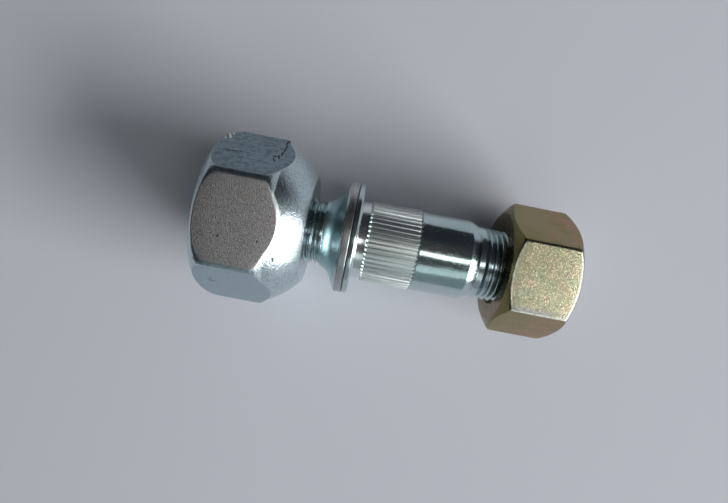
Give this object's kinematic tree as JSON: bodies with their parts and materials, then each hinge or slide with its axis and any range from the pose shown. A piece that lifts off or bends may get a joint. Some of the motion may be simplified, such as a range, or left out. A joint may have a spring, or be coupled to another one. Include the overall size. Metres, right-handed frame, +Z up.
{
  "type": "wheel hub bolt",
  "caption": "Double-ended wheel stud with a round flange, knurled shank and tapered step, carrying a ball-seat hexagon wheel nut and a plain hexagon hub nut.",
  "frame": {"origin": "on the table under the centre of the part's box, lying on the flats of both nuts", "axes": "+Z up, +X along the table under the stud's axis, from the wheel nut to the hub nut"},
  "size_m": [0.1008, 0.0466, 0.0421],
  "materials": {
    "stud_zinc": "bright blue-white zinc plate, turned and rolled",
    "nut_zinc": "blue-white zinc plate over a blasted forging",
    "yellow_zinc": "yellow passivated zinc plate with an iridescent sheen"
  },
  "bodies": {
    "stud": {"stud": "stud_zinc"},
    "wheel_nut": {"wheel_nut": "nut_zinc"},
    "hub_nut": {"hub_nut": "yellow_zinc"}
  },
  "joints": [
    {"name": "wheel_nut_travel", "type": "slide", "parent": "stud", "child": "wheel_nut", "axis": [0.9983, 0, -0.0581], "range_m": [-0.027, 0.003]},
    {"name": "hub_nut_travel", "type": "slide", "parent": "stud", "child": "hub_nut", "axis": [0.9983, 0, -0.0581], "range_m": [-0.0045, 0.018]}
  ]
}
